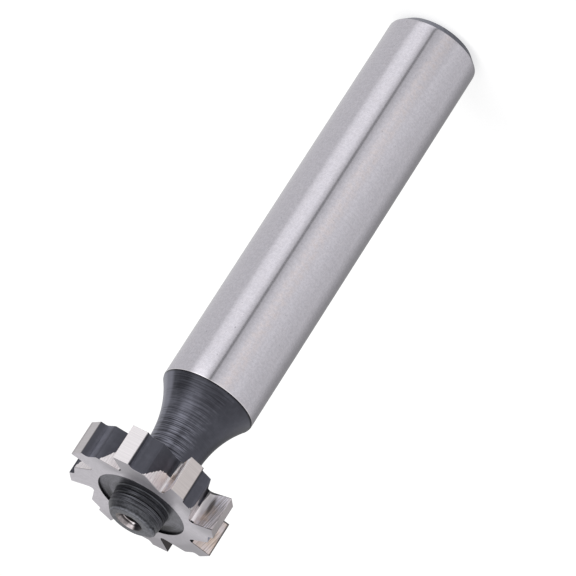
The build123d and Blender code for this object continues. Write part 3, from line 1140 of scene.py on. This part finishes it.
def rake(colours):
    """Rake faces: ground along the tool, with warm streaks, one left black, one with a dark patch, dark
    burrs, and painted light near the root.
    """
    metal = Metal("rake")
    along, height, number = metal.tooth_place()
    patched = metal.tooth(number, PATCHED_RAKE)
    warm = metal.tooth(number, WARM_RAKE)
    clean = metal.tooth(number, CLEAN_RAKE)
    worked = 1 - clean
    skewed = along + height * worked * 0.22
    streaks = metal.tooth_noise(skewed / 0.085, height / 3.0, number * 5.1)
    cloud = metal.tooth_noise(along / 1.1, height / 1.6, number * 2.3)

    polished = shaded(colours.land, 1.2)
    cool = patched * metal.step(along, 8.1, 8.6)
    outer = metal.step(along, 7.3, 8.2) * 0.5 + 0.5
    pale = metal.mix(warm, shaded(colours.ground, 1.28), shaded(colours.blush, 1.25))
    dark = metal.mix(cool, shaded(colours.straw, 0.50), shaded(colours.blush, 0.48))
    base = metal.mix(metal.step(cloud, 0.35, 0.65) * (1 - cool * 0.7), pale, shaded(colours.straw, 1.30))
    base = metal.mix(metal.step(streaks, 0.48, 0.60) * worked * outer * (0.85 - warm * 0.36), base, dark)
    base = metal.mix(metal.step(streaks, 0.40, 0.28) * worked * (warm * 0.3 + 0.5), base, polished)
    base = metal.tone(base, 1 - patched * metal.step(height, 2.7, 3.2) * metal.step(along, 8.2, 7.8) * 0.17)
    base = metal.tone(base, 1 - warm * metal.step(height, 1.3, 0.7) * 0.17)
    base = metal.tone(base, 1 - clean * metal.step(height, 1.7, 2.4) * metal.step(along, 8.4, 7.9) * 0.26)

    # Painted light near the root of the face, stronger on the patched tooth, where it lightens a dark
    # reflection
    painted_light_at_root = metal.step(along, 7.45, 7.15) * metal.step(height, 3.4, 2.6, patched * 0.35 + 0.1, 1.0)
    painted_light_at_root = painted_light_at_root | patched * metal.step(along, 7.05, 6.80)
    base = metal.mix(painted_light_at_root * worked * (patched * 0.25 + 0.7), base, polished)
    bare = metal.step(along, 8.15, 8.50) * metal.step(height, 3.0, 2.3)
    bare = clean * (bare | metal.step(along, 7.15, 6.80) * metal.step(height, 1.9, 1.3))
    base = metal.mix(bare * 0.8, base, shaded(colours.land, 1.1))
    across = (along - PATCH_ALONG) / PATCH_HALF_WIDTH
    down = (height - PATCH_HEIGHT) / PATCH_HALF_HEIGHT
    far = (across * across + down * down).math("SQRT") + (cloud - 0.5) * 0.8
    base = metal.mix(patched * metal.step(far, 1.35, 0.4) * 0.72, base, shaded(colours.straw, 0.28))
    base = metal.mix(metal.tooth(number, BLACK_RAKE), base, shaded(colours.blush, 0.135))

    uneven = height + (cloud - 0.5) * 0.2
    burr = metal.step(uneven, 3.77, 3.83) * 0.75
    corner = metal.step(uneven + warm * 0.15, 3.66, 3.72) * metal.step(along - warm * 0.08, 6.96, 6.86)
    burr = burr | corner * (1 - clean * 0.5)
    back_edge = metal.step(along, 8.4, 6.9, 0.06, 0.24) | warm * 0.16
    burr = burr | metal.step(height - back_edge, 0.02, -0.03) * 0.9
    burr = burr | metal.step(along + height * 0.17, 6.86, 6.76) * 0.85
    burr = burr | metal.step(along, 8.90, 8.97) * (1 - patched) * metal.step(height, 1.4, 0.4, 0.2, 0.55)
    burr = burr | metal.step(along, 8.98, 9.03) * warm * 0.8
    base = metal.mix(burr, base, colours.soot)
    matt = patched * metal.step(along, 7.65, 7.05) * metal.step(height, 2.6, 1.8) | bare * 0.9
    return metal.finish(base, 0.50 + streaks * 0.12, streaks, metallic=1 - matt * 0.9)


FINISHES = {
    "ground_shank": ground_shank,
    "shank_end": shank_end,
    "black_neck": black_neck,
    "recess": recess,
    "boss": boss_black,
    "centre_seat": centre_seat,
    "flank": flank,
    "land": land,
    "milled_back": milled_back,
    "rake": rake,
}


def slot_of(finish):
    """Number of the material slot that a finish has on the cutter."""
    return list(FINISHES).index(finish)


class OBJECT_OT_keyseat_cutter(bpy.types.Operator):
    """Model the whole cutter as one closed piece and give each of its surfaces its finish"""

    bl_idname = "object.keyseat_cutter"
    bl_label = "Keyseat cutter"

    def execute(self, context):
        scene = context.scene
        mesh = build_cutter(scene.cutter_sizes, scene.cutter_teeth, scene.cutter_marks)
        for make in FINISHES.values():
            mesh.materials.append(make(scene.cutter_colours))
        piece = bpy.data.objects.new(NODE + "_finished", mesh)
        context.collection.objects.link(piece)
        context.view_layer.objects.active = piece
        even = piece.modifiers.new("even_normals", "WEIGHTED_NORMAL")
        even.keep_sharp = True
        even.weight = 100
        bpy.ops.object.modifier_apply(modifier=even.name)
        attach(piece, "root")
        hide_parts(NODE)
        return {"FINISHED"}


def studio_floor(studio):
    """A large pale floor, lifted to white for the camera, that still takes the cutter's soft shadow."""
    material = bpy.data.materials.new("studio_floor")
    material.use_nodes = True
    paint = Finish(material.node_tree)
    matt, faint = (
        paint.add("ShaderNodeBsdfDiffuse", None, {"Color": (grey, grey, grey, 1)})
        for grey in (FLOOR_GREY, FLOOR_GREY_SEEN))
    lift = paint.add("ShaderNodeEmission", None, {"Color": (1, 1, 1, 1), "Strength": studio.floor_lift})
    lifted = paint.add("ShaderNodeAddShader", None, {"Shader": faint, "Shader_001": lift})
    seen = paint.add("ShaderNodeLightPath", output="Is Camera Ray")
    surface = paint.add("ShaderNodeMixShader", None, {"Fac": seen, "Shader": matt, "Shader_001": lifted})
    paint.add("ShaderNodeOutputMaterial", None, {"Surface": surface})

    bm = bmesh.new()
    bmesh.ops.create_circle(bm, cap_ends=True, radius=FLOOR_RADIUS, segments=96)
    mesh = bpy.data.meshes.new("studio_floor")
    bm.to_mesh(mesh)
    bm.free()
    mesh.materials.append(material)
    floor = bpy.data.objects.new("studio_floor", mesh)
    bpy.context.collection.objects.link(floor)
    floor.visible_glossy = False


def studio_world(studio):
    """White behind the cutter, soft even light on it, and a few panels round it that the metal mirrors."""
    world = bpy.data.worlds.new("studio")
    world.use_nodes = True
    bpy.context.scene.world = world
    room = Finish(world.node_tree)
    direction = room.add("ShaderNodeTexCoord", output="Generated")
    x, y, z = room.split(direction)
    flat = (x * x + y * y).math("SQRT") | 0.001
    mirrored = room.step(z, *HORIZON, studio.base, studio.upper)
    mirrored = mirrored + room.step(z, *OVERHEAD, 0.0, studio.top - studio.upper)
    for _, azimuth, half_width, strength, bottom, top in STUDIO_PANELS:
        turn = math.radians(azimuth)
        facing = (x * math.cos(turn) + y * math.sin(turn)) / flat
        edge = math.cos(math.radians(half_width) * math.sqrt(2))
        over_bottom = room.step(z, bottom - FADE_OUTSIDE, bottom + FADE_INSIDE)
        over_top = room.step(z, top - FADE_INSIDE, top + FADE_OUTSIDE)
        mirrored = mirrored + room.step(facing, edge, 1.0) * (over_bottom - over_top) * strength
    tint = room.add("ShaderNodeCombineColor", None, {"Red": mirrored, "Green": mirrored, "Blue": mirrored})
    plain = room.add("ShaderNodeBackground", None, {"Color": (1, 1, 1, 1), "Strength": studio.ambient})
    white = room.add("ShaderNodeBackground", None, {"Color": (1, 1, 1, 1), "Strength": 1.0})
    panels = room.add("ShaderNodeBackground", None, {"Color": tint, "Strength": 1.0})
    glossy = room.add("ShaderNodeLightPath", output="Is Glossy Ray")
    seen = room.add("ShaderNodeLightPath", output="Is Camera Ray")
    seen = seen | room.add("ShaderNodeLightPath", output="Is Transmission Ray")
    surface = room.add("ShaderNodeMixShader", None, {"Fac": glossy, "Shader": plain, "Shader_001": panels})
    surface = room.add("ShaderNodeMixShader", None, {"Fac": seen, "Shader": surface, "Shader_001": white})
    room.add("ShaderNodeOutputWorld", None, {"Surface": surface})


def softbox(name, azimuth, elevation, distance, width, power):
    """One large soft lamp that points at the cutter."""
    lamp = bpy.data.lights.new(name, "AREA")
    lamp.shape = "DISK"
    lamp.size = width
    lamp.energy = power
    lamp_object = bpy.data.objects.new(name, lamp)
    bpy.context.collection.objects.link(lamp_object)
    toward = heading(math.radians(azimuth)) * math.cos(math.radians(elevation))
    toward.z = math.sin(math.radians(elevation))
    lamp_object.matrix_world = Matrix.LocRotScale(toward * distance, toward.to_track_quat("Z", "Y"), None)
    lamp_object.visible_glossy = False


class OBJECT_OT_cutter_studio(bpy.types.Operator):
    """Lay the floor, hang the lamps and place the camera"""

    bl_idname = "object.cutter_studio"
    bl_label = "Studio"

    def execute(self, context):
        scene = context.scene
        studio = scene.cutter_studio
        scene.view_settings.view_transform = "Standard"
        studio_floor(studio)
        studio_world(studio)
        for *place, share_of_power in LAMPS:
            softbox(*place, studio.lamp_power * share_of_power)

        lens = bpy.data.cameras.new("camera")
        lens.lens = studio.camera_lens
        lens.sensor_width = SENSOR_WIDTH
        camera = bpy.data.objects.new("camera", lens)
        context.collection.objects.link(camera)
        toward = heading(studio.camera_azimuth) * math.cos(studio.camera_elevation)
        toward.z = math.sin(studio.camera_elevation)
        aim = Vector((studio.aim_x, studio.aim_y, studio.aim_z))
        level_view = toward.to_track_quat("Z", "Y")
        rolled = level_view @ Quaternion((0, 0, 1), studio.camera_roll)
        camera.matrix_world = Matrix.LocRotScale(aim + toward * studio.camera_distance, rolled, None)
        scene.camera = camera
        return {"FINISHED"}


class VIEW3D_PT_keyseat_cutter(bpy.types.Panel):
    """Sizes, colours and steps of the cutter"""

    bl_idname = "VIEW3D_PT_keyseat_cutter"
    bl_label = "Keyseat cutter"
    bl_space_type = "VIEW_3D"
    bl_region_type = "UI"
    bl_category = "Keyseat cutter"

    def draw(self, context):
        for group_name in GROUPS:
            box = self.layout.box()
            box.label(text=group_name.replace("_", " ").capitalize())
            group = getattr(context.scene, group_name)
            for name in type(group).__annotations__:
                box.prop(group, name)
        for step in STEPS:
            self.layout.operator(step.bl_idname)


GROUPS = {
    "cutter_sizes": CutterSizes,
    "cutter_teeth": ToothSizes,
    "cutter_marks": ToolMarks,
    "cutter_colours": FinishColours,
    "cutter_studio": StudioSettings,
}
STEPS = (OBJECT_OT_keyseat_cutter, OBJECT_OT_cutter_studio)


def register():
    for name, group in GROUPS.items():
        bpy.utils.register_class(group)
        setattr(bpy.types.Scene, name, bpy.props.PointerProperty(type=group))
    for cls in (*STEPS, VIEW3D_PT_keyseat_cutter):
        bpy.utils.register_class(cls)


def unregister():
    for cls in (VIEW3D_PT_keyseat_cutter, *reversed(STEPS)):
        bpy.utils.unregister_class(cls)
    for name, group in reversed(GROUPS.items()):
        delattr(bpy.types.Scene, name)
        bpy.utils.unregister_class(group)


def main():
    register()
    bpy.ops.object.keyseat_cutter()
    bpy.ops.object.cutter_studio()


if __name__ == "__main__":
    main()
